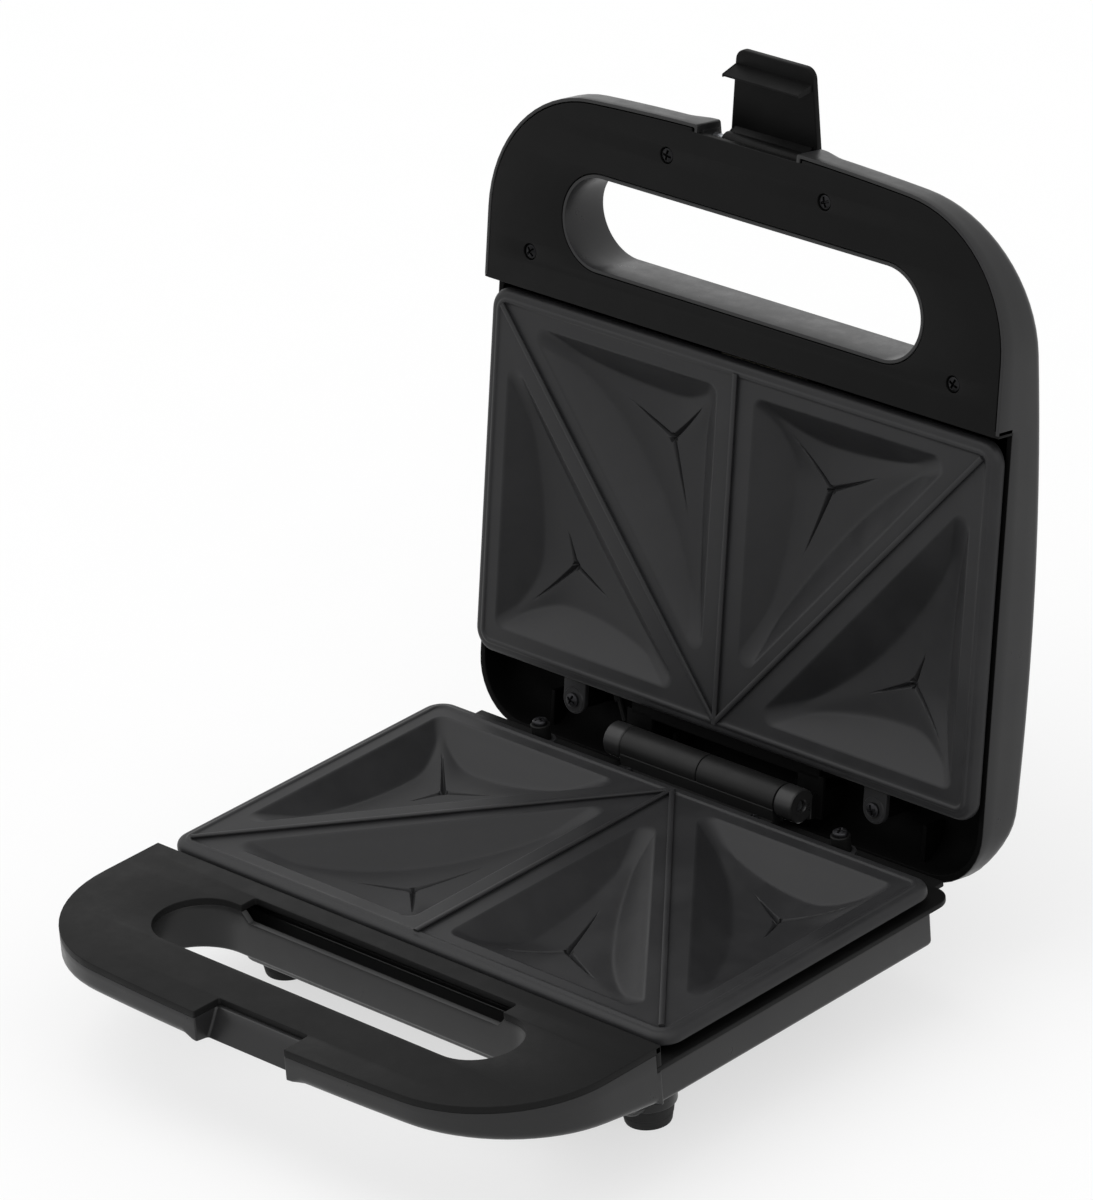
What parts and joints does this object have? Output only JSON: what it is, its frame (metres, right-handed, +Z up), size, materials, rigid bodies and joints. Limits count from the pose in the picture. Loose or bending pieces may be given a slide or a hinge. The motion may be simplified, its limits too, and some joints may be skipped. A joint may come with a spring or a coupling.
{
  "type": "sandwich toaster",
  "caption": "Black two-slice sandwich toaster with a hinged lid shown open, triangular non-stick pockets, long finger slots and a swinging clip latch.",
  "frame": {"origin": "on the table under the middle of the part's box, lid open", "axes": "+Z up, -Y towards the user's side with the handles, +X to the user's right"},
  "size_m": [0.23, 0.2762, 0.2889],
  "materials": {
    "housing": "smooth moulded black, soft gloss",
    "cover": "fine spark texture",
    "deck": "smooth satin",
    "coated_plate": "cast, with a dark non-stick coating, satin",
    "latch": "satin black",
    "steel": "zinc plated",
    "dark_screw": "blackened",
    "heater_tube": "dull sheath",
    "reflector": "bright rolled sheet",
    "foot_rubber": "matt",
    "gland_rubber": "matt",
    "ceramic": "moulded, heat proof",
    "terminal": "moulded",
    "lead_red": "silicone sleeve",
    "fuse_body": "moulded",
    "lens_red": "clear red",
    "lens_green": "clear green",
    "lamp_glass": "small neon lamp"
  },
  "bodies": {
    "base": {"base_pan": "housing", "base_deck": "deck", "base_frame": "housing", "base_screws": "steel", "hinge_barrel": "deck", "hinge_screws": "steel", "hinge_pin": "steel", "lower_plate": "coated_plate", "plate_posts": "steel", "lower_heater": "heater_tube", "lower_heater_clamps": "steel", "lower_reflector": "reflector", "thermostat": "ceramic", "thermal_fuse": "fuse_body", "terminal_block": "terminal", "cord_gland": "gland_rubber", "base_wires": "lead_red", "foot_front_left": "foot_rubber", "foot_front_right": "foot_rubber", "foot_rear_left": "foot_rubber", "foot_rear_right": "foot_rubber"},
    "lid": {"lid_shell": "housing", "lid_cover": "cover", "lid_screws": "dark_screw", "upper_plate": "coated_plate", "upper_plate_screws": "steel", "upper_heater": "heater_tube", "upper_heater_clamps": "steel", "upper_reflector": "reflector", "lid_thermostat": "ceramic", "power_lens": "lens_red", "ready_lens": "lens_green", "lamp_holder": "ceramic", "neon_lamps": "lamp_glass", "lid_wires": "lead_red", "latch_pin": "steel"},
    "latch": {"latch": "latch"}
  },
  "joints": [
    {"name": "lid_hinge", "type": "hinge", "parent": "base", "child": "lid", "pos_m": [0, 0.08174, 0.0493], "axis": [1, 0, 0], "range_deg": [0, 100]},
    {"name": "latch_pivot", "type": "hinge", "parent": "lid", "child": "latch", "pos_m": [0, 0.12834, 0.25889], "axis": [1, 0, 0], "range_deg": [0, 85]}
  ]
}
